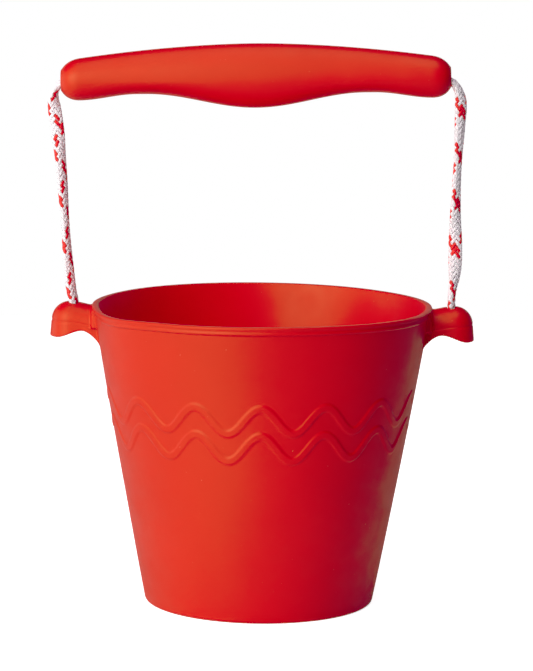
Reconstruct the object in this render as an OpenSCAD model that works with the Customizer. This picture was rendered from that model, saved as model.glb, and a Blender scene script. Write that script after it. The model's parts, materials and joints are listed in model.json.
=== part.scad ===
// Soft silicone sand bucket with two hooded ears, a braided rope bail and a hollow
// moulded grip.  The origin is the centre of the base on the ground, +X runs through
// the right ear, +Z up.  Left is -X.

/* [Bucket] */
// Height of the rim above the ground
bucket_h = 143; // [120:1:170]
// Outer radius of the wall carried down to the ground
base_r = 54.6; // [45:0.2:62]
// Outer radius of the wall carried up to the rim
mouth_r = 79.6; // [72:0.2:82]
// How far the wall swells beyond a straight cone at half height
wall_swell = 0.8; // [0:0.1:2]
// Thickness of the wall
wall_t = 2.4; // [1.6:0.1:3.2]
// Thickness of the floor
floor_t = 3; // [2:0.1:5]
// Radius where the wall turns into the base
foot_r = 2; // [1:0.5:4]

/* [Rim] */
// Height of the collar round the mouth
collar_h = 4; // [3:0.5:7]
// How far the collar stands out from the wall
collar_proud = 0.8; // [0.4:0.1:1.6]
// Radius of the edges along the top of the rim
lip_r = 1; // [0.5:0.1:1.4]

/* [Ears] */
// Radius of the rounded hood
ear_r = 8.7; // [8:0.1:9.5]
// Distance from the bucket's axis to the centre of the hood's dome
ear_x = 91.7; // [90:0.1:94]
// Height of the highest point of the hood
ear_top = 143.8; // [142:0.1:146]
// Height of the bottom edge of the skirt
ear_bottom = 127; // [124:0.5:129]
// How far the skirt widens towards its bottom edge
skirt_flare = 1; // [0:0.1:1.5]
// Thickness of the hood
ear_t = 2; // [1.6:0.1:2.6]
// Distance from the bucket's axis to the rope hole
hole_x = 90; // [88:0.5:91]
// Diameter of the rope hole
hole_d = 6.6; // [6:0.1:7.2]
// Width of the pad where the ear joins the wall
pad_w = 25; // [19:0.5:26]

/* [Grip] */
// Length of the grip
grip_len = 185.8; // [175:0.2:187]
// Height of the middle of the grip's bore above the ground
grip_z = 251; // [245:0.5:260]
// How far the grip has slid along the rope from the middle
grip_shift = -4.6; // [-6:0.2:0]
// Lean of the grip, in degrees, with the right end higher
grip_lean = 1.25; // [0:0.05:2]
// Height of the arched back above the bore at the middle
grip_back = 16.6; // [13:0.1:18]
// How much lower the back is at the ends
grip_back_fall = 6.4; // [3:0.1:8]
// Depth of the underside below the bore at the necks
grip_neck = 6.9; // [6.5:0.1:9]
// How much deeper the belly is than the necks
grip_belly = 6.9; // [0:0.1:9]
// How much deeper the ends are than the necks
grip_heel = 2.8; // [0:0.1:4]
// Half the width of the grip at the middle
grip_side = 10.8; // [9:0.1:13]
// Half the width of the grip at the ends
grip_end_side = 9.4; // [8:0.1:11]
// Diameter of the bore
bore_d = 7; // [6.6:0.1:8]

/* [Rope] */
// Width of the flat braid
rope_w = 6; // [5:0.1:6.2]
// Thickness of the flat braid
rope_t = 4; // [3:0.1:4.2]
// Height at which the rope bends when the bail swings
pivot_z = 148.2; // [148.2:0.1:150]
// Diameter of the knot under each ear
knot_d = 10; // [8:0.5:10.5]

/* [Hidden] */
$fn = 96;

silicone = "#d8281f";
braid = "#efe6ee";

rim_r = mouth_r + collar_proud;
inner_foot_r = 6;        // rounding between the floor and the inside of the wall
wall_steps = 12;         // cones that make up the swelling wall
ear_z = ear_top - ear_r; // height of the dome's centre and of the skirt's top
arch_r = 9;              // concave arch in the skirt next to the bucket
arch_x = 85.5;
arch_top = 130.5;
root_top = 141.6;        // top of the ear where it meets the rim
pad_x = 81.8;            // outer face of the pad
pad_bottom = 132;
hollow_x = 83.6;         // inner end of the hollow under the hood
flare_len = 4;           // funnel at each end of the grip's bore
flare_r = 6.3;
dome_len = 9.9;          // rounded length at each end of the grip
core_half = 88;          // half the rope's straight length inside the grip
stub_d = 4.8;            // rope where the ear's hole squeezes it
stub_top = 144.2;        // where the fixed rope starts to taper, clear of the swinging rope
stub_tip = 145.8;
knot_z = 134.4;          // centre of the knot, pulled up against the hood
big = 400;

// Route of each rope from its bend above the ear up to the grip, as [x, z].
left_route = [[-91, 148.2], [-92.2, 157], [-93.1, 166], [-93.9, 176], [-94.7, 187],
              [-95.5, 198], [-96.4, 209], [-97.5, 220], [-98.8, 230], [-99.8, 237],
              [-100.1, 241], [-99.4, 244.8], [-97.5, 247.5], [-95, 248.8]];
right_route = [[90, 148.2], [91, 156], [91.4, 165], [91.2, 176], [91, 187],
               [91.1, 198], [91.4, 209], [91.8, 220], [92.2, 230], [92.4, 238],
               [92.2, 243.5], [91.1, 247.6], [88.9, 250.9], [86, 252.6]];

// --- Profiles -------------------------------------------------------------

// Outer radius of the wall at height z.
function wall_r(z) = let (t = z / bucket_h)
    base_r + (mouth_r - base_r) * t + 4 * wall_swell * t * (1 - t);

// Points of an arc from angle a to angle b.
function arc(cx, cy, r, a, b, steps = 8) =
    [for (i = [0:steps]) let (t = a + (b - a) * i / steps) [cx + r * cos(t), cy + r * sin(t)]];

// Wall outline between two heights, moved inward by inset.
function wall_line(z0, z1, inset) =
    [for (i = [0:wall_steps]) let (z = z0 + (z1 - z0) * i / wall_steps) [wall_r(z) - inset, z]];

// The filled outside of the bucket, with its foot and collar.
module bucket_outside() {
    collar_z = bucket_h - collar_h;
    rotate_extrude()
        polygon(concat(
            [[0, 0]],
            arc(wall_r(foot_r) - foot_r, foot_r, foot_r, -90, 0),
            wall_line(2 * foot_r, collar_z, 0),
            [[rim_r - 0.3, collar_z + 0.3], [rim_r, collar_z + 1]],
            arc(rim_r - lip_r, bucket_h - lip_r, lip_r, 0, 90, 4),
            [[0, bucket_h]]));
}

// The space inside the bucket, open at the top.
module bucket_inside() {
    corner_z = floor_t + inner_foot_r;
    lip_x = wall_r(bucket_h) - wall_t;
    rotate_extrude()
        polygon(concat(
            [[0, floor_t]],
            arc(wall_r(corner_z) - wall_t - inner_foot_r, corner_z, inner_foot_r, -90, 0),
            wall_line(corner_z + 1, bucket_h - lip_r, wall_t),
            arc(lip_x + lip_r, bucket_h - lip_r, lip_r, 180, 90, 4),
            [[lip_x + lip_r, bucket_h + 1], [0, bucket_h + 1]]));
}

// --- Bucket ---------------------------------------------------------------

module bucket_shell() {
    color(silicone)
        difference() {
            bucket_outside();
            bucket_inside();
        }
}

// --- Ears -----------------------------------------------------------------

// Hood, rounded over the top and at the tip, with its skirt reaching down below the ear.
module hood(r, start_x) {
    translate([ear_x, 0, ear_z]) sphere(r);
    translate([start_x, 0, ear_z]) rotate([0, 90, 0]) cylinder(h = ear_x - start_x, r = r);
    translate([ear_x, 0, ear_bottom - 1])
        cylinder(h = ear_z - ear_bottom + 1, r1 = r + skirt_flare, r2 = r);
    translate([start_x, -r, ear_bottom - 6]) cube([ear_x - start_x, 2 * r, ear_z - ear_bottom + 6]);
}

// Side view of the ear: the sloping root, the arch near the wall and the low skirt.
module ear_side() {
    rotate([90, 0, 0])
        linear_extrude(height = big, center = true)
            polygon(concat(
                [[60, root_top], [pad_x, root_top], [hole_x, ear_top + 1],
                 [ear_x + 2 * ear_r, ear_top + 1], [ear_x + 2 * ear_r, ear_bottom],
                 [ear_x + 5, ear_bottom]],
                arc(arch_x, arch_top - arch_r, arch_r, 50, 150),
                [[74, 119], [60, 119]]));
}

module right_ear_body() {
    difference() {
        union() {
            intersection() {
                hood(ear_r, 60);
                ear_side();
            }
            translate([60, -pad_w / 2, pad_bottom])
                cube([pad_x - 60, pad_w, root_top - pad_bottom]);
        }
        bucket_outside();
        difference() {
            hood(ear_r - ear_t, hollow_x);
            translate([0, -big / 2, root_top - ear_t]) cube([hole_x - ear_t, big, big]);
        }
        translate([hole_x, 0, ear_z]) cylinder(h = 2 * ear_r, d = hole_d);
    }
}

module right_ear() {
    color(silicone) right_ear_body();
}

module left_ear() {
    color(silicone) mirror([1, 0, 0]) right_ear_body();
}

// --- Rope -----------------------------------------------------------------

// Point on the grip's bore at distance u from its middle.
function on_bore(u) = [grip_shift + u * cos(grip_lean), grip_z + u * sin(grip_lean)];

// Direction of a route at its point i.
function heading(route, i) =
    let (a = route[max(i - 1, 0)], b = route[min(i + 1, len(route) - 1)], d = b - a) d / norm(d);

// Flat braid swept along a route that lies in the plane of the bail.
module braid(route) {
    sides = 10;
    rings = len(route);
    points = [for (i = [0:rings - 1], k = [0:sides - 1])
        let (h = heading(route, i), a = 360 * k / sides,
             across = rope_w / 2 * cos(a), deep = rope_t / 2 * sin(a))
            [route[i].x - h.y * across, deep, route[i].y + h.x * across]];
    walls = [for (i = [0:rings - 2], k = [0:sides - 1])
        let (n = (k + 1) % sides)
            [i * sides + k, i * sides + n, (i + 1) * sides + n, (i + 1) * sides + k]];
    first = [for (k = [0:sides - 1]) sides - 1 - k];
    last = [for (k = [0:sides - 1]) (rings - 1) * sides + k];
    polyhedron(points, concat([first], walls, [last]), convexity = 4);
}

// Free rope on one side, with a round end on the axis about which it swings.
module side_rope(route, end) {
    color(braid) {
        braid(concat(route, [on_bore(end)]));
        translate([route[0].x, 0, pivot_z])
            rotate([0, 90, 0]) cylinder(h = rope_w - 0.4, d = rope_t, center = true);
    }
}

module left_rope() {
    side_rope(left_route, -core_half);
}

module right_rope() {
    side_rope(right_route, core_half);
}

module core_rope() {
    color(braid) braid([for (i = [0:8]) on_bore(core_half * (i / 4 - 1))]);
}

// Rope end through the ear's hole, with the knot that holds it.
module knot_body() {
    tail_z = ear_bottom + 2;
    translate([hole_x, 0, knot_z]) sphere(d = knot_d);
    translate([hole_x, 0, knot_z]) cylinder(h = stub_top - knot_z, d = stub_d);
    translate([hole_x, 0, stub_top])
        cylinder(h = stub_tip - stub_top, d1 = stub_d, d2 = rope_t / 10);
    translate([hole_x, 0, tail_z]) cylinder(h = knot_z - tail_z, d = rope_t);
}

module right_knot() {
    color(braid) knot_body();
}

module left_knot() {
    color(braid) mirror([1, 0, 0]) knot_body();
}

// --- Grip -----------------------------------------------------------------

// How full the grip is at distance u from its middle: 1 along it, 0 at its ends.
function fullness(u) = let (t = max(0, (abs(u) - grip_len / 2 + dome_len) / dome_len))
    pow(max(0, 1 - pow(t, 2.3)), 1 / 2.3);
function back(u) = grip_back - grip_back_fall * pow(abs(u) / (grip_len / 2 - dome_len), 1.8);
function under(u) = let (v = abs(u))
    grip_neck + grip_belly * (v < 52 ? 0.5 + 0.5 * cos(180 * v / 52) : 0)
              + grip_heel * (v > 56 ? 0.5 - 0.5 * cos(180 * min(1, (v - 56) / 28)) : 0);
function side(u) = grip_end_side + (grip_side - grip_end_side) * (0.5 + 0.5 * cos(360 * u / grip_len));

// Distance along the grip of ring i, closer together in the domes.
function ring_at(i, rings) = let (t = 2 * i / (rings - 1) - 1) grip_len / 2 * sin(90 * t) * 0.9999;

module grip_form() {
    rings = 41;
    sides = 28;
    points = [for (i = [0:rings - 1], k = [0:sides - 1])
        let (u = ring_at(i, rings), f = fullness(u), a = 360 * k / sides,
             rise = sin(a) > 0 ? back(u) : under(u))
            [u, side(u) * f * cos(a), rise * f * sin(a)]];
    walls = [for (i = [0:rings - 2], k = [0:sides - 1])
        let (n = (k + 1) % sides)
            [i * sides + k, (i + 1) * sides + k, (i + 1) * sides + n, i * sides + n]];
    first = [for (k = [0:sides - 1]) k];
    last = [for (k = [0:sides - 1]) rings * sides - 1 - k];
    polyhedron(points, concat([first], walls, [last]), convexity = 4);
}

module grip() {
    color(silicone)
        translate([grip_shift, 0, grip_z])
            rotate([0, -grip_lean, 0])
                difference() {
                    grip_form();
                    rotate([0, 90, 0]) cylinder(h = grip_len + 2, d = bore_d, center = true);
                    for (end = [0, 1])
                        mirror([end, 0, 0])
                            translate([grip_len / 2 - flare_len, 0, 0])
                                rotate([0, 90, 0])
                                    cylinder(h = flare_len, r1 = bore_d / 2, r2 = flare_r);
                }
}

bucket_shell();
left_ear();
right_ear();
left_knot();
right_knot();
left_rope();
right_rope();
core_rope();
grip();
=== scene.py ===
"""Looks of the sand bucket: two silicone mouldings, a braided rope and a small studio.

Lengths below are millimetres unless a name says otherwise; to_metres() turns them into scene units.
Left is -X, the camera stands on -Y.
"""

import json
import math

import bpy
import numpy as np
from mathutils import Matrix, Vector


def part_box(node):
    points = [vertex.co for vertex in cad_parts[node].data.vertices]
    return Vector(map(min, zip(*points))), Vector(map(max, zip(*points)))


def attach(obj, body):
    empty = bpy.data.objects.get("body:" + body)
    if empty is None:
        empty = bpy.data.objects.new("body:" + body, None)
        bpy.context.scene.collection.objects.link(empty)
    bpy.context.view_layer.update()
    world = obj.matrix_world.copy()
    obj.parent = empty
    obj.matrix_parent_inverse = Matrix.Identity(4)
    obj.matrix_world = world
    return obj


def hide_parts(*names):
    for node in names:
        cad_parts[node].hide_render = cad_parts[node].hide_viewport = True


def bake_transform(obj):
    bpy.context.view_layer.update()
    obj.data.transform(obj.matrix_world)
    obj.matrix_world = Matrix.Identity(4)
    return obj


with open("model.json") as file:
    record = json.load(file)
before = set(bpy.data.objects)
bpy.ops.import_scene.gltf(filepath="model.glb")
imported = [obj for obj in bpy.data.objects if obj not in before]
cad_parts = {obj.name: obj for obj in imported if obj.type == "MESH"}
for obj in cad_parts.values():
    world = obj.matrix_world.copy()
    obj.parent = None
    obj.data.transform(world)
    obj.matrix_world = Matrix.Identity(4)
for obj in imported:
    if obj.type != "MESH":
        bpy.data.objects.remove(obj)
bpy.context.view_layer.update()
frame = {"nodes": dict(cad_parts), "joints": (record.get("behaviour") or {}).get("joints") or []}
MM = 0.001

# ---------------------------------------------------------------- sizes taken from the frame

shell_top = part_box("bucket_shell")[1]
ear_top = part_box("right_ear")[1]
joints = {j["name"]: j for j in frame["joints"]}

RIM_Z = shell_top.z / MM
RIM_R = shell_top.x / MM
BORE_MIDDLE = Vector(joints["grip_roll"]["pos_m"]) / MM
BORE_AXIS = Vector(joints["grip_roll"]["axis"])

# ---------------------------------------------------------------- driving dimensions

BASE_R = 54.6  # wall carried down to the ground
COLLAR_PROUD = 0.8
COLLAR_H = 4.0
MOUTH_R = RIM_R - COLLAR_PROUD
WALL_SWELL = 0.8
WALL_T = 2.4
FLOOR_T = 3.0

EAR_R = 8.7  # of the hood, seen from its tip
EAR_X = 91.7  # where the hood's round tip begins
EAR_Z = ear_top.z / MM - EAR_R
EAR_T = 2.0
SKIRT_FLARE = 0.08  # how fast the hood widens downwards
HOOD_SLOPE = 0.17  # how fast its top falls towards the bucket
ARCH_X, ARCH_Z = 85.6, 130.6  # highest point of the hood's lower edge
HOLE_X, HOLE_R = 90.0, 3.1
PAD_X, PAD_HALF, PAD_LOW, PAD_HIGH = 80.4, 11.2, 132.2, 141.8  # thickened root of an ear

GRIP_HALF = 92.9
GRIP_DOME = 9.9  # length of each rounded end
BORE_R = 3.5

ROPE_W = 6.0
ROPE_T = 4.0
ROPE_LOW = 139.0  # where the free runs begin, inside the ears
ROPE_EXIT = 143.6  # where they leave the ears
ROPE_STEP = 0.6

LEFT_ROUTE = [(-91, 148.2), (-92.2, 157), (-93.1, 166), (-93.9, 176), (-94.7, 187), (-95.5, 198),
              (-96.4, 209), (-97.5, 220), (-98.8, 230), (-99.8, 237), (-100.1, 240.5), (-99.4, 244),
              (-97.5, 246.6), (-95, 247.7)]
RIGHT_ROUTE = [(90, 148.2), (91, 156), (91.4, 165), (91.2, 176), (91, 187), (91.1, 198),
               (91.4, 209), (91.8, 220), (92.2, 230), (92.4, 237.5), (92.2, 242.5), (91.2, 246.6),
               (89, 249.8), (86.2, 251.4)]

# how far each flat rope is turned, as (height, degrees); at 0 its broad side faces front
LEFT_FLATS = [(144, 64), (150, 58), (160, 56), (168, 68), (180, 78), (190, 68), (200, 56), (212, 52),
              (219, 40), (225, 5), (232, 18), (238, 30), (243, 85), (246, 90)]
RIGHT_FLATS = [(144, 72), (150, 88), (154, 66), (158, 36), (164, 16), (173, 0), (182, 38), (190, 50),
               (200, 64), (210, 72), (218, 66), (226, 50), (234, 48), (240, 18), (244, 50), (248, 90)]
RED_YARNS = {(1, 0), (1, 1), (-1, 0), (-1, 1)}  # (lay, number) of the red yarns; the others are white

WAVE_HEIGHTS = (98.5, 85.5)
WAVE_LENGTH, WAVE_RISE = 31.0, 6.0
RELIEF_LOW, RELIEF_HIGH = 74.0, 112.0  # the part of the wall that carries the waves
RELIEF_R = 71.0  # radius that turns an angle into a distance along the waves

# tone curve of the green channel, scene-linear: deep reds lose their last green, as strong reds do on film
GREEN_TONE = [(0.012, 0.0003), (0.025, 0.001), (0.032, 0.0055), (0.044, 0.042), (0.058, 0.062),
              (0.09, 0.098), (0.22, 0.22)]


# ---------------------------------------------------------------- camera

def make_camera():
    """The photograph's viewpoint: a long lens from the front, a little above, rolled slightly."""
    target = Vector((2.1, 0, 128.3)) * MM
    distance, elevation, roll, lens = 1.6676, math.radians(8.83), math.radians(0.8), 187.4
    away = Vector((0, -math.cos(elevation), math.sin(elevation)))
    right, up = Vector((1, 0, 0)), Vector((0, math.sin(elevation), math.cos(elevation)))
    turned_right = right * math.cos(roll) + up * math.sin(roll)
    turned_up = up * math.cos(roll) - right * math.sin(roll)
    camera = bpy.data.objects.new("camera", bpy.data.cameras.new("camera"))
    camera.data.lens = lens
    camera.data.clip_end = 20
    camera.matrix_world = Matrix.Translation(target + away * distance) @ Matrix(
        (turned_right, turned_up, away)).transposed().to_4x4()
    bpy.context.scene.collection.objects.link(camera)
    bpy.context.scene.camera = camera


# ---------------------------------------------------------------- mesh helpers

def smoothstep(low, high, x):
    t = np.clip((x - low) / (high - low), 0, 1)
    return t * t * (3 - 2 * t)


def to_metres(points):
    return np.asarray(points, float) * MM


def make_mesh(name, points, faces, materials, face_materials=None):
    """A smooth-shaded mesh object from points in millimetres."""
    mesh = bpy.data.meshes.new(name)
    mesh.from_pydata(to_metres(points).tolist(), [], [tuple(int(i) for i in f) for f in faces])
    for material in materials:
        mesh.materials.append(material)
    if face_materials is not None:
        mesh.polygons.foreach_set("material_index", np.asarray(face_materials, np.int32))
    mesh.polygons.foreach_set("use_smooth", np.ones(len(mesh.polygons), bool))
    mesh.update()
    piece = bpy.data.objects.new(name, mesh)
    bpy.context.scene.collection.objects.link(piece)
    return piece


def grid_faces(rows, columns, first=0, wrap=True, flip=False):
    """Quads of a grid of points stored row by row, closed round each row if wrap."""
    across = columns if wrap else columns - 1
    i = np.repeat(np.arange(rows - 1), across)
    j = np.tile(np.arange(across), rows - 1)
    k = (j + 1) % columns
    quads = np.stack([i * columns + j, i * columns + k, (i + 1) * columns + k,
                      (i + 1) * columns + j], axis=1) + first
    return quads[:, ::-1] if flip else quads


# ---------------------------------------------------------------- bucket shell

def wall_r(z):
    """Outer radius of the wall at height z."""
    t = np.asarray(z, float) / RIM_Z
    return BASE_R + (MOUTH_R - BASE_R) * t + 4 * WALL_SWELL * t * (1 - t)


def arc_points(cx, cz, r, a, b, steps):
    t = np.radians(np.linspace(a, b, steps + 1))
    return np.stack([cx + r * np.cos(t), cz + r * np.sin(t)], axis=1)


def shell_profile():
    """Half section of the bucket as (radius, height), from the middle of the underside over the rim to the
    middle of the floor, and the number of the first point on the inside of the wall."""
    foot, corner = 2.0, 6.0
    collar_z = RIM_Z - COLLAR_H
    under = [(0.6, 0.5), (4, 0.5), (9, 0.5), (18, 0.5), (28, 0.5), (38, 0.5), (43, 0.5), (44.6, 0.45),
             (45.3, 0.1), (46.2, 0), (49, 0)]
    outer = np.concatenate([np.linspace(2 * foot, RELIEF_LOW, 20)[:-1],
                            np.linspace(RELIEF_LOW, RELIEF_HIGH, 84)[:-1],
                            np.linspace(RELIEF_HIGH, collar_z - 0.6, 11)])
    collar = [(-0.05, -0.25), (0.1, -0.05), (0.45, 0.1), (0.68, 0.3), (0.8, 0.6), (0.84, 1.0),
              (0.8, 1.35), (0.62, 1.55), (0.6, 1.75), (0.62, 2.2)]
    lip = arc_points(RIM_R - 0.2 - 0.9, RIM_Z - 0.9, 0.9, 0, 90, 7)
    inner_lip = arc_points(MOUTH_R - WALL_T + 0.8, RIM_Z - 0.8, 0.8, 90, 180, 7)
    inner = np.linspace(RIM_Z - 2, FLOOR_T + corner + 1, 24)
    corner_x = wall_r(FLOOR_T + corner) - WALL_T - corner
    rounding = arc_points(corner_x, FLOOR_T + corner, corner, 0, -90, 8)
    floor = [(r, FLOOR_T) for r in (corner_x - 2, 40, 32, 24, 16, 8, 3, 0.6)]
    outside = [*under,
               *arc_points(wall_r(foot) - foot, foot, foot, -90, 0, 6),
               *np.stack([wall_r(outer), outer], axis=1),
               *[(wall_r(collar_z) + dx, collar_z + dz) for dx, dz in collar],
               *lip, *inner_lip]
    inside = [*np.stack([wall_r(inner) - WALL_T, inner], axis=1), *rounding, *floor]
    return np.array([*outside, *inside]), len(outside)


def around():
    """Angles round the bucket, closer together over the front, where the waves are."""
    half = math.radians(86)
    front = np.linspace(-half, half, 380, endpoint=False)
    rear = np.linspace(half, 2 * math.pi - half, 120, endpoint=False)
    return np.concatenate([front, rear]) - math.pi / 2


def wave_lines():
    """Two rows of waves along the front of the wall, as (distance round the wall, height)."""
    waves_each_side = 3.2
    t = np.linspace(-waves_each_side, waves_each_side, 400) * 2 * math.pi
    along = t / (2 * math.pi) * WAVE_LENGTH
    return [np.stack([along, height + WAVE_RISE * np.cos(t)], axis=1) for height in WAVE_HEIGHTS]


def relief(along, z):
    """How far the moulded waves stand out of the wall."""
    stroke, edge, height = 1.3, 0.85, 0.5
    away = np.full(len(z), 99.0)
    for line in wave_lines():
        for part in np.array_split(line, 16):
            close = np.hypot(along[:, None] - part[None, :, 0], z[:, None] - part[None, :, 1])
            away = np.minimum(away, close.min(axis=1))
    return height * (1 - smoothstep(stroke, stroke + edge, away))


def bump(x, middle, reach):
    """1 at the middle, falling smoothly to 0 at reach to either side."""
    return np.cos(np.clip((x - middle) / reach, -1, 1) * math.pi / 2) ** 2


def settle_mouth(points):
    """Gives points of the bucket the mouth's relaxed shape: the soft wall is a little flat in front, fuller
    at the front left and at both ears, and the rim rises and dips with it."""
    points = np.array(points, float)
    x, y, z = points.T
    lift = smoothstep(35, RIM_Z, z)
    # 0 at the left ear, 90 in front, 180 at the right ear, 270 at the back
    turn = np.mod(np.degrees(np.arctan2(-y, -x)), 360)
    r = np.hypot(x, y)
    push = -4.4 * bump(turn, 98, 62) + 2.6 * bump(turn, 30, 26) - 1.6 * bump(turn, 270, 60)
    ends = 1.0 * np.maximum(bump(turn, 0, 30), bump(turn, 360, 30)) + 1.6 * bump(turn, 196, 30)
    push = (push + ends * (1 - smoothstep(82, 87, r))) * lift
    share = smoothstep(20, 60, r)
    points[:, :2] *= (1 + push * share / np.maximum(r, 1))[:, None]
    points[:, 2] += (0.55 * bump(turn, 105, 70) - 0.8 * bump(turn, 28, 26)) * lift * share
    return points


def make_shell(silicone):
    (profile, first_inside), angles = shell_profile(), around()
    rows, columns = len(profile), len(angles)
    r = np.repeat(profile[:, 0], columns)
    z = np.repeat(profile[:, 1], columns)
    a = np.tile(angles, rows)
    near_waves = (profile[:, 1] > RELIEF_LOW - 2) & (profile[:, 1] < RELIEF_HIGH + 2)
    raised = np.repeat(near_waves & (np.arange(rows) < first_inside), columns) & (
        np.abs(a + math.pi / 2) < math.radians(88))
    along = (a[raised] + math.pi / 2) * RELIEF_R
    r[raised] += relief(along, z[raised])
    points = np.stack([r * np.cos(a), r * np.sin(a), z], axis=1)
    # the rim's flat top is wider beside the ears
    inside = np.repeat((np.arange(rows) > first_inside) & (profile[:, 1] > 60), columns)
    near_ear = np.abs(np.sin(a)) < 0.5
    slant = np.degrees(np.arcsin(np.clip(np.sin(a), -1, 1)))
    shift = np.where(inside & near_ear, 1.1 * bump(slant, 6, 24) * smoothstep(126, 141, z), 0)
    points[:, 0] -= shift * np.cos(a)
    points[:, 1] -= shift * np.sin(a)
    points = np.concatenate([settle_mouth(points), [[0, 0, profile[0, 1]], [0, 0, profile[-1, 1]]]])
    faces = [*grid_faces(rows, columns)]
    first, last = rows * columns, rows * columns + 1
    top = (rows - 1) * columns
    for j in range(columns):
        k = (j + 1) % columns
        faces.append((first, k, j))
        faces.append((last, top + j, top + k))
    return make_mesh("bucket_moulding", points, faces, [silicone])


# ---------------------------------------------------------------- ears

def smooth_max(a, b, k):
    h = np.clip(0.5 + 0.5 * (a - b) / k, 0, 1)
    return b + (a - b) * h + k * h * (1 - h)


def smooth_min(a, b, k):
    return -smooth_max(-a, -b, k)


def hood_distance(x, y, z, r):
    """Distance to a hood that is round over the top and at the tip, with a seam and a skirt below."""
    top = EAR_Z - HOOD_SLOPE * np.maximum(HOLE_X - x, 0)
    down = np.maximum(top - z, 0)
    over = np.sqrt(np.maximum(x - EAR_X, 0) ** 2 + y ** 2 + np.maximum(z - top, 0) ** 2)
    below = top - 0.4 - z
    seam = 0.14 * smoothstep(-0.2, 0.3, below) - 0.16 * np.exp(-((below + 0.2) / 0.32) ** 2)
    return over - r - SKIRT_FLARE * down - seam


def shell_distance(x, y, z):
    """How far outside the bucket's wall and collar a point is."""
    collar_z = RIM_Z - COLLAR_H
    return np.hypot(x, y) - wall_r(z) - COLLAR_PROUD * smoothstep(collar_z - 0.4, collar_z + 0.5, z)


def ear_distance(p):
    """Signed distance to the right ear: a hollow hood growing out of a pad under the rim."""
    x, y, z = p[..., 0], p[..., 1], p[..., 2]
    from_wall = shell_distance(x, y, z)
    inward = np.maximum(ARCH_X - x, 0)
    drop = np.where(x > ARCH_X, 3.5 * smoothstep(ARCH_X, 98.5, x), 0.074 * inward ** 2)
    slope = np.where(x > ARCH_X, 0.3, 0.156 * inward)
    under = (ARCH_Z - drop - z) / np.sqrt(1 + slope ** 2)
    hood = smooth_max(hood_distance(x, y, z, EAR_R), under, 0.8)
    hollow = smooth_max(hood_distance(x, y, z, EAR_R - EAR_T), 2.4 - from_wall, 1.2)
    pad = smooth_max(smooth_max(x - PAD_X, np.abs(y) - PAD_HALF, 1.8), z - PAD_HIGH, 3.0)
    pad = smooth_max(pad, PAD_LOW - z, 0.8)
    ear = smooth_min(hood, pad, 1.0)
    ear = smooth_min(ear, from_wall + 0.15, 1.2)
    ear = smooth_max(ear, -hollow, 0.6)
    ear = smooth_max(ear, HOLE_R - np.hypot(1.3 * (x - HOLE_X), y), 0.7)  # the hole hugs the flat rope
    # the blend onto the wall ends under the rim's edge, at both sides and below, just inside the wall
    top = z - 142.2 - 2.0 * smoothstep(81, 84, x)
    edges = np.maximum(np.maximum(top, np.abs(y) - 14.8), 118.2 - z)
    return np.maximum(np.maximum(ear, edges), -(from_wall + 1.2))


def surface_net(distance, low, high, step):
    """Points and quads of the surface where distance is 0, one point per grid cell that it crosses."""
    axes = [np.arange(a, b + step, step) for a, b in zip(low, high)]
    grid = np.stack(np.meshgrid(*axes, indexing="ij"), axis=-1)
    value = distance(grid)
    shape = np.array(value.shape)
    inside = value < 0
    total = np.zeros((*(shape - 1), 3))
    count = np.zeros(shape - 1)
    crossings = []
    for axis in range(3):
        a = [slice(None)] * 3
        b = [slice(None)] * 3
        a[axis], b[axis] = slice(0, -1), slice(1, None)
        a, b = tuple(a), tuple(b)
        crossed = inside[a] != inside[b]
        share = np.where(crossed, value[a] / np.where(crossed, value[a] - value[b], 1), 0)
        at = grid[a] + (grid[b] - grid[a]) * share[..., None]
        others = [k for k in range(3) if k != axis]
        for du in (0, 1):
            for dv in (0, 1):
                edges = [slice(None)] * 3
                for k, d in zip(others, (du, dv)):
                    edges[k] = slice(d, shape[k] - 1 + d)
                edge = crossed[tuple(edges)]
                total += at[tuple(edges)] * edge[..., None]
                count += edge
        crossings.append((axis, others, crossed, inside[a]))
    used = count > 0
    number = np.full(used.shape, -1)
    number[used] = np.arange(used.sum())
    points = total[used] / count[used][:, None]
    quads = []
    for axis, (u, v), crossed, start_inside in crossings:
        where = np.argwhere(crossed)
        off_border = [(where[:, k] > 0) & (where[:, k] < shape[k] - 1) for k in (u, v)]
        where = where[off_border[0] & off_border[1]]
        corner = []
        for du, dv in ((1, 1), (0, 1), (0, 0), (1, 0)):
            cell = where.copy()
            cell[:, u] -= du
            cell[:, v] -= dv
            corner.append(number[tuple(cell.T)])
        quad = np.stack(corner, axis=1)
        outward = start_inside[tuple(where.T)]
        if axis == 1:
            outward = ~outward
        quad[~outward] = quad[~outward][:, ::-1]
        quads.append(quad)
    return points, np.concatenate(quads)


def settle(points, distance, rounds=4):
    """Moves points onto the surface along the slope of its distance."""
    nudge = 0.05
    for _ in range(rounds):
        slope = np.stack([distance(points + d) - distance(points - d)
                          for d in np.eye(3) * nudge], axis=1) / (2 * nudge)
        length = np.maximum((slope ** 2).sum(axis=1), 0.2)
        move = np.clip(distance(points) / length, -0.3, 0.3)
        points = points - slope * move[:, None]
    return points


def make_ear(side, silicone):
    """One ear, on the right (side 1) or the left (side -1)."""
    points, quads = surface_net(ear_distance, (74.0, -15.2, 117.0), (103.5, 15.2, 146.0), 0.4)
    points = settle(points, ear_distance)
    if side < 0:
        points[:, 0] *= -1
        quads = quads[:, ::-1]
    points = settle_mouth(points)
    return make_mesh("left_ear_hood" if side < 0 else "right_ear_hood", points, quads, [silicone])


# ---------------------------------------------------------------- grip

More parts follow.
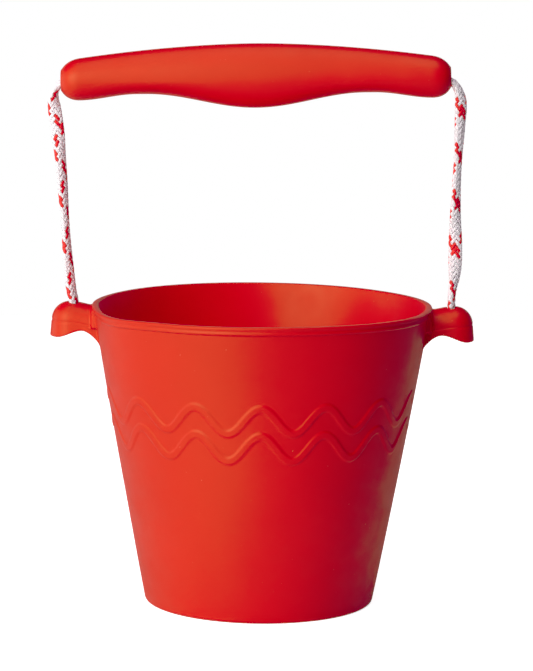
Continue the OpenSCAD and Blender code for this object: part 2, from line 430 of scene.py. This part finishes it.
def grip_section(u):
    """(rise of the back, depth of the underside, half width, share of them kept by the rounded end) of the
    grip at distance u from its middle."""
    v = np.abs(u)
    dome_start = GRIP_HALF - GRIP_DOME
    back = 16.6 - 6.4 * (v / dome_start) ** 1.8
    belly = 6.9 * (0.5 + 0.5 * np.cos(np.pi * np.minimum(v / 52, 1)))
    heel = 2.8 * (0.5 - 0.5 * np.cos(np.pi * np.clip((v - 56) / 28, 0, 1)))
    under = 6.9 + belly + heel
    half = 9.4 + 1.4 * (0.5 + 0.5 * np.cos(np.pi * u / GRIP_HALF))
    full = (1 - np.clip((v - dome_start) / GRIP_DOME, 0, 1) ** 2.3) ** (1 / 2.3)
    return back, under, half, full


def make_grip(silicone):
    """The grip: outside from mouth to mouth, round the mouths' edges, and back through the bore."""
    sides, mouth = 64, 91.6
    bend = np.sin(np.linspace(0, math.pi / 2, 15))
    dome = GRIP_HALF - GRIP_DOME
    right = np.concatenate([np.linspace(0, dome, 60)[:-1], dome + (mouth - dome) * bend])
    u = np.concatenate([-right[:0:-1], right])
    a = np.linspace(0, 2 * math.pi, sides, endpoint=False)
    back, under, half, full = (q[:, None] for q in grip_section(u))
    rise = np.where(np.sin(a) > 0, back, under)
    outer = np.stack([np.repeat(u, sides).reshape(len(u), sides), half * full * np.cos(a),
                      rise * full * np.sin(a)], axis=2)
    rings = [*outer]
    for end in (1, -1):
        edge = outer[-1] if end > 0 else outer[0]
        inner = []
        for share, out in ((0.12, 0.25), (0.3, 0.42), (0.5, 0.35), (0.7, 0.0), (0.88, -0.6), (1.0, -1.8)):
            ring = edge.copy()
            radius = np.hypot(edge[:, 1], edge[:, 2])
            target = BORE_R + (radius - BORE_R) * (1 - share)
            ring[:, 1:] *= (target / radius)[:, None]
            ring[:, 0] = end * (abs(edge[:, 0]) + out)
            inner.append(ring)
        rings = rings + inner if end > 0 else inner[::-1] + rings
    left_mouth, right_mouth = rings[0], rings[-1]
    through = []
    for x in np.linspace(right_mouth[0, 0], left_mouth[0, 0], 24)[1:-1]:
        ring = right_mouth.copy()
        ring[:, 0] = x
        through.append(ring)
    rings += through
    count = len(rings)
    points = np.concatenate(rings)
    faces = grid_faces(count, sides)
    here = np.arange(sides)
    after, seam = (here + 1) % sides, (count - 1) * sides
    last = np.stack([seam + here, seam + after, after, here], axis=1)
    axis = np.array(BORE_AXIS)
    normal = np.array([-axis[2], 0, axis[0]])
    placed = (np.array(BORE_MIDDLE) + points[:, :1] * axis + points[:, 1:2] * np.array([0, 1, 0])
              + points[:, 2:] * normal)
    return make_mesh("moulded_grip", placed, np.concatenate([faces, last])[:, ::-1], [silicone])


# ---------------------------------------------------------------- rope

def smooth_line(route, spacing):
    """A smooth line through the route's points, evenly spaced (centripetal spline)."""
    p = np.array(route, float)
    p = np.concatenate([[2 * p[0] - p[1]], p, [2 * p[-1] - p[-2]]])
    out = []
    for i in range(1, len(p) - 2):
        a, b, c, d = p[i - 1:i + 3]
        t = [0.0]
        for q, s in ((a, b), (b, c), (c, d)):
            t.append(t[-1] + np.sqrt(np.linalg.norm(s - q)))
        for x in np.linspace(t[1], t[2], 24, endpoint=False):
            ab = (t[1] - x) / (t[1] - t[0]) * a + (x - t[0]) / (t[1] - t[0]) * b
            bc = (t[2] - x) / (t[2] - t[1]) * b + (x - t[1]) / (t[2] - t[1]) * c
            cd = (t[3] - x) / (t[3] - t[2]) * c + (x - t[2]) / (t[3] - t[2]) * d
            abc = (t[2] - x) / (t[2] - t[0]) * ab + (x - t[0]) / (t[2] - t[0]) * bc
            bcd = (t[3] - x) / (t[3] - t[1]) * bc + (x - t[1]) / (t[3] - t[1]) * cd
            out.append((t[2] - x) / (t[2] - t[1]) * abc + (x - t[1]) / (t[2] - t[1]) * bcd)
    out.append(p[-2])
    out = np.array(out)
    along = np.concatenate([[0], np.cumsum(np.linalg.norm(np.diff(out, axis=0), axis=1))])
    at = np.linspace(0, along[-1], int(along[-1] / spacing) + 1)
    return np.stack([np.interp(at, along, out[:, k]) for k in range(out.shape[1])], axis=1)


def side_frames(line):
    """Directions square to a line in space, across and deep, that turn as little as they can."""
    forward = np.gradient(line, axis=0)
    forward /= np.linalg.norm(forward, axis=1)[:, None]
    across = np.zeros_like(line)
    first = np.cross([0, 1, 0], forward[0])
    across[0] = first / np.linalg.norm(first)
    for i in range(1, len(line)):
        kept = across[i - 1] - forward[i] * (across[i - 1] @ forward[i])
        across[i] = kept / np.linalg.norm(kept)
    return across, np.cross(forward, across)


def tube(line, e1, e2, wide, thick, sides, first):
    """Points and quads of an oval tube along a line, with closed ends; first is its first point's number."""
    count = len(line)
    points, quads = [], []
    for k in range(sides):
        t = 2 * math.pi * k / sides
        points.append(line + e1 * (wide * math.cos(t))[:, None] + e2 * (thick * math.sin(t))[:, None])
    i = np.arange(count - 1)
    for k in range(sides):
        n = (k + 1) % sides
        quads.append(np.stack([first + k * count + i, first + k * count + i + 1, first + n * count + i + 1,
                               first + n * count + i], axis=1))
    for end, step in ((0, 1), (count - 1, -1)):
        ring = first + np.arange(sides) * count + end
        for k in range(1, sides - 2, 2):
            quads.append(ring[[0, k, k + 1, k + 2]][None, ::step])
    return np.concatenate(points), np.concatenate(quads)


def braid_strands(line, width, depth, pitch, pairs, red, twist=0.0, phase=0.0):
    """Points, quads, colours and lift of a braid of 2 * pairs strands, each passing over two and under two,
    laid along a line, pressed flat to width by depth and turned by twist."""
    across, deep = side_frames(line)
    s = np.concatenate([[0], np.cumsum(np.linalg.norm(np.diff(line, axis=0), axis=1))])
    twist = twist + 0 * s
    e1 = across * np.cos(twist)[:, None] + deep * np.sin(twist)[:, None]
    e2 = deep * np.cos(twist)[:, None] - across * np.sin(twist)[:, None]
    thick, rise, sides = 0.36, 0.15, 8  # a strand's half thickness, how far it lifts, and its facets
    half_w, half_d = width / 2 - thick - rise * 0.6, depth / 2 - thick - rise * 0.6
    girth = 2 * math.pi * math.sqrt((half_w ** 2 + half_d ** 2) / 2)
    yarn = 0.54 * girth / pairs * math.cos(math.atan(girth / pitch))
    one = np.ones(len(line))
    core, quads = tube(line, e1, e2, (half_w - 0.1) * one, (half_d - 0.1) * one, 8, 0)
    points, quads, colours, lifts = [core], [quads], [0] * len(quads), [np.zeros(len(core))]
    for hand in (1, -1):
        for strand in range(pairs):
            crossing = 2 * pairs * s / pitch
            beat = 2 * strand + hand * crossing - (0.5 if hand > 0 else 2.5)
            wave = np.cos(2 * math.pi * beat / 4)
            lift = np.sign(wave) * np.abs(wave) ** 0.6
            angle = 2 * math.pi * (hand * s / pitch + strand / pairs) + phase
            a, b = half_w + rise * lift, half_d + rise * lift
            middle = line + e1 * (a * np.cos(angle))[:, None] + e2 * (b * np.sin(angle))[:, None]
            out = e1 * (np.cos(angle) * half_d)[:, None] + e2 * (np.sin(angle) * half_w)[:, None]
            go = np.gradient(middle, axis=0)
            go /= np.linalg.norm(go, axis=1)[:, None]
            sideways = np.cross(go, out)
            sideways /= np.linalg.norm(sideways, axis=1)[:, None]
            swell = 1 + 0.10 * lift
            strand_points, strand_quads = tube(middle, sideways, np.cross(sideways, go), yarn * swell,
                                               thick * one, sides, sum(len(q) for q in points))
            points.append(strand_points)
            quads.append(strand_quads)
            colours += [int((hand, strand) in red)] * len(strand_quads)
            lifts.append(np.tile(0.5 + 0.5 * lift, sides))
    return np.concatenate(points), np.concatenate(quads), colours, np.concatenate(lifts)


def make_braid(name, line, materials, red, **form):
    points, quads, colours, shades = braid_strands(line, red=red, **form)
    piece = make_mesh(name, points, quads, materials, colours)
    # the strands' lift, which the yarn material turns into painted shade
    over = piece.data.attributes.new("over", "FLOAT", "POINT")
    over.data.foreach_set("value", shades.astype(np.float32))
    return piece


def on_bore(u):
    p = BORE_MIDDLE + BORE_AXIS * u
    return (p.x, p.z)


def make_side_rope(side, route, flats, materials):
    """The rope on one side: from inside the ear up to the grip and a little way into its bore."""
    name = "left_braid" if side < 0 else "right_braid"
    hole = side * HOLE_X
    flat = [(hole, ROPE_LOW), (hole, ROPE_EXIT), *route, on_bore(side * 84.0), on_bore(side * 76.0)]
    line = smooth_line([(x, 0, z) for x, z in flat], ROPE_STEP)
    heights, degrees = zip(*flats)
    top = int(np.argmax(line[:, 2] > BORE_MIDDLE.z - 3.6))
    turn = np.radians(np.interp(line[:, 2], heights, degrees))
    turn[top:] = turn[top]
    turn = np.convolve(np.pad(turn, 8, mode="edge"), np.ones(17) / 17, mode="valid")
    piece = make_braid(name, line, materials, RED_YARNS, width=ROPE_W + 0.5, depth=ROPE_T - 0.3, pitch=22.0,
                       pairs=8, twist=turn, phase=0.9 * side)
    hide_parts("left_rope" if side < 0 else "right_rope")
    path = np.concatenate([line[:-1:3], line[-1:]])
    length = float(np.linalg.norm(np.diff(path, axis=0), axis=1).sum()) * MM
    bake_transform(piece)
    return piece, path, length


def knot_line(side):
    """The rope's end under an ear: down from the hole, once round itself, and a short tail."""
    t = np.linspace(-0.35, 1.62 * math.pi, 60) + 0.5
    loop = np.stack([1.45 * (np.sin(t) + 2 * np.sin(2 * t)), 1.35 * (np.cos(t) - 2 * np.cos(2 * t)),
                     -2.0 * np.sin(3 * t)], axis=1)
    loop[:, 2] += 135.4
    start = [(0, 0, 141.5), (0.2, 0, 139.5)]
    end = [(0.4, 0.6, 132.8), (0.5, 0.9, 132.0)]
    points = np.array([*start, *loop[::4], *end])
    points[:, 0] = side * (HOLE_X + points[:, 0])
    return smooth_line(points, ROPE_STEP)


def make_knot(side, materials):
    name = "left_knot_tied" if side < 0 else "right_knot_tied"
    piece = make_braid(name, knot_line(side), materials, RED_YARNS, width=3.8, depth=3.2, pitch=16.0,
                       pairs=4)
    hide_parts("left_knot" if side < 0 else "right_knot")
    return piece


# ---------------------------------------------------------------- materials

def new_material(name):
    material = bpy.data.materials.new(name)
    material.use_nodes = True
    nodes, links = material.node_tree.nodes, material.node_tree.links
    return material, nodes, links, nodes["Principled BSDF"]


def add_noise(nodes, links, coordinates, scale, detail=3.0):
    noise = nodes.new("ShaderNodeTexNoise")
    noise.inputs["Scale"].default_value = scale
    noise.inputs["Detail"].default_value = detail
    links.new(coordinates, noise.inputs["Vector"])
    return noise.outputs["Fac"]


def add_ramp(nodes, links, value, stops):
    ramp = nodes.new("ShaderNodeValToRGB")
    while len(ramp.color_ramp.elements) < len(stops):
        ramp.color_ramp.elements.new(0.5)
    for element, (place, colour) in zip(ramp.color_ramp.elements, stops):
        element.position = place
        element.color = (*colour, 1)
    links.new(value, ramp.inputs["Fac"])
    return ramp.outputs["Color"]


def add_bump(nodes, links, height, strength, shader):
    grain = nodes.new("ShaderNodeBump")
    grain.inputs["Strength"].default_value = strength
    grain.inputs["Distance"].default_value = 0.0002
    links.new(height, grain.inputs["Height"])
    links.new(grain.outputs["Normal"], shader.inputs["Normal"])


def silicone_material():
    """Matt red silicone: faint mottling, fine tool-texture bump and a few specks of dust."""
    material, nodes, links, shader = new_material("red_silicone")
    place = nodes.new("ShaderNodeTexCoord").outputs["Object"]
    cloud = add_noise(nodes, links, place, 22, 4)
    tone = add_ramp(nodes, links, cloud, [(0.3, (0.485, 0.009, 0.003)), (0.7, (0.52, 0.0103, 0.004))])
    dust = add_noise(nodes, links, place, 760, 2)
    speck = add_ramp(nodes, links, dust, [(0.765, (0, 0, 0)), (0.80, (1, 1, 1))])
    mix = nodes.new("ShaderNodeMix")
    mix.data_type = "RGBA"
    links.new(speck, mix.inputs["Factor"])
    links.new(tone, mix.inputs["A"])
    mix.inputs["B"].default_value = (0.55, 0.085, 0.07, 1)
    links.new(mix.outputs["Result"], shader.inputs["Base Color"])
    haze = add_noise(nodes, links, place, 90, 5)
    gloss = nodes.new("ShaderNodeMapRange")
    links.new(haze, gloss.inputs["Value"])
    gloss.inputs["From Min"].default_value = 0.3
    gloss.inputs["From Max"].default_value = 0.7
    gloss.inputs["To Min"].default_value = 0.46
    gloss.inputs["To Max"].default_value = 0.56
    links.new(gloss.outputs["Result"], shader.inputs["Roughness"])
    add_bump(nodes, links, add_noise(nodes, links, place, 2600, 2), 0.12, shader)
    shader.inputs["Specular IOR Level"].default_value = 0.44
    shader.inputs["Specular Tint"].default_value = (1.0, 0.85, 0.40, 1)
    return material


def yarn_material(name, bright, painted_shade):
    """Twisted yarn: fine filaments, with painted shade where a strand dives under the next."""
    material, nodes, links, shader = new_material(name)
    over = nodes.new("ShaderNodeAttribute")
    over.attribute_name = "over"
    # painted shade: the colour runs from the painted shade tint, on strands that dive under, to the yarn's
    # own colour on strands that lie on top
    colour = add_ramp(nodes, links, over.outputs["Fac"], [(0.0, painted_shade), (0.55, bright)])
    place = nodes.new("ShaderNodeTexCoord").outputs["Object"]
    fibre = add_noise(nodes, links, place, 3200, 3)
    mix = nodes.new("ShaderNodeMix")
    mix.data_type = "RGBA"
    mix.blend_type = "MULTIPLY"
    mix.inputs["Factor"].default_value = 0.3
    links.new(colour, mix.inputs["A"])
    links.new(add_ramp(nodes, links, fibre, [(0.3, (0.85, 0.85, 0.85)), (0.65, (1, 1, 1))]), mix.inputs["B"])
    links.new(mix.outputs["Result"], shader.inputs["Base Color"])
    add_bump(nodes, links, fibre, 0.5, shader)
    shader.inputs["Roughness"].default_value = 0.7
    shader.inputs["Subsurface Weight"].default_value = 0.5
    shader.inputs["Subsurface Scale"].default_value = 0.0015
    shader.inputs["Subsurface Radius"].default_value = (1.0, 0.9, 1.0)
    return material


def floor_material():
    """White table that burns out to white for the camera, except where the bucket shades it."""
    material, nodes, links, shader = new_material("floor_white")
    place = nodes.new("ShaderNodeTexCoord").outputs["Object"]
    faint = add_noise(nodes, links, place, 3, 2)
    links.new(add_ramp(nodes, links, faint, [(0.3, (0.88, 0.88, 0.88)), (0.7, (0.90, 0.90, 0.90))]),
              shader.inputs["Base Color"])
    shader.inputs["Roughness"].default_value = 0.9
    seen = nodes.new("ShaderNodeMath")
    seen.operation = "MULTIPLY"
    links.new(nodes.new("ShaderNodeLightPath").outputs["Is Camera Ray"], seen.inputs[0])
    seen.inputs[1].default_value = 0.85
    shader.inputs["Emission Color"].default_value = (1, 1, 1, 1)
    links.new(seen.outputs["Value"], shader.inputs["Emission Strength"])
    return material


# ---------------------------------------------------------------- studio

def area_light(name, azimuth, elevation, distance, size, radiance, colour=(1, 1, 1)):
    """A soft box aimed at the bucket; azimuth runs from the camera's side towards the right."""
    target = Vector((0, 0, 0.13))
    a, e = math.radians(azimuth), math.radians(elevation)
    place = target + distance * Vector((math.sin(a) * math.cos(e), -math.cos(a) * math.cos(e), math.sin(e)))
    light = bpy.data.lights.new(name, "AREA")
    light.shape = "RECTANGLE"
    light.size, light.size_y = size
    light.energy = radiance * math.pi * size[0] * size[1]
    light.color = colour
    lamp = bpy.data.objects.new(name, light)
    lamp.location = place
    lamp.rotation_euler = (target - place).to_track_quat("-Z", "Y").to_euler()
    lamp.visible_camera = False
    bpy.context.scene.collection.objects.link(lamp)


def make_studio():
    """A white table in a white room: a big soft box in front on the left, a weaker one overhead, and low
    ones for the edges. A small red lamp inside the bucket stands for light that comes through its wall."""
    bpy.ops.mesh.primitive_plane_add(size=1.6, location=(0, 0.1, 0))
    floor = bpy.context.object
    floor.name = "floor"
    floor.data.materials.append(floor_material())
    world = bpy.data.worlds.new("studio")
    bpy.context.scene.world = world
    world.use_nodes = True
    nodes, links = world.node_tree.nodes, world.node_tree.links
    dim = nodes["Background"]
    dim.inputs["Color"].default_value = (1.0, 0.7, 0.7, 1)
    dim.inputs["Strength"].default_value = 0.06
    white = nodes.new("ShaderNodeBackground")
    white.inputs["Color"].default_value = (1, 1, 1, 1)
    mix = nodes.new("ShaderNodeMixShader")
    links.new(nodes.new("ShaderNodeLightPath").outputs["Is Camera Ray"], mix.inputs["Fac"])
    links.new(dim.outputs["Background"], mix.inputs[1])
    links.new(white.outputs["Background"], mix.inputs[2])
    links.new(mix.outputs["Shader"], nodes["World Output"].inputs["Surface"])
    area_light("key", -34, 19, 1.6, (1.1, 1.3), 6.8, (1, 0.98, 0.95))
    area_light("top", 15, 76, 1.2, (1.0, 1.0), 2.3, (1, 0.88, 0.95))
    area_light("left_side", -100, 5, 1.3, (0.7, 0.9), 2.6)
    area_light("right_rim", 125, 0, 1.3, (0.5, 0.9), 0.75, (1, 0.72, 1))
    area_light("back", 180, 14, 2.2, (3.2, 1.0), 0.7)
    area_light("wall_glow", 0, -40, 0.05, (0.05, 0.05), 5.5, (1, 0, 0))
    view = bpy.context.scene.view_settings
    view.view_transform = "Standard"
    view.use_curve_mapping = True
    green = view.curve_mapping.curves[1]
    for place in GREEN_TONE:
        green.points.new(*place)
    view.curve_mapping.update()


# ---------------------------------------------------------------- assembly

make_camera()
# each yarn's second colour is painted shade for where a strand dives under the next
white_yarn = yarn_material("white_yarn", (0.97, 0.93, 0.99), (0.90, 0.79, 0.97))
red_yarn = yarn_material("red_yarn", (0.80, 0.014, 0.010), (0.62, 0.008, 0.008))
yarns = [white_yarn, red_yarn]
for side, route, flats in ((-1, LEFT_ROUTE, LEFT_FLATS), (1, RIGHT_ROUTE, RIGHT_FLATS)):
    knot = make_knot(side, yarns)
    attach(knot, "bucket")
    rope, path, length = make_side_rope(side, route, flats, yarns)

silicone = silicone_material()
shell = make_shell(silicone)
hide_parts("bucket_shell")
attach(shell, "bucket")
for side, node in ((-1, "left_ear"), (1, "right_ear")):
    ear = make_ear(side, silicone)
    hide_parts(node)
    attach(ear, "bucket")
grip = make_grip(silicone)
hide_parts("grip")
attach(grip, "grip")
core = frame["nodes"]["core_rope"]
core.data.materials.clear()
core.data.materials.append(white_yarn)

make_studio()
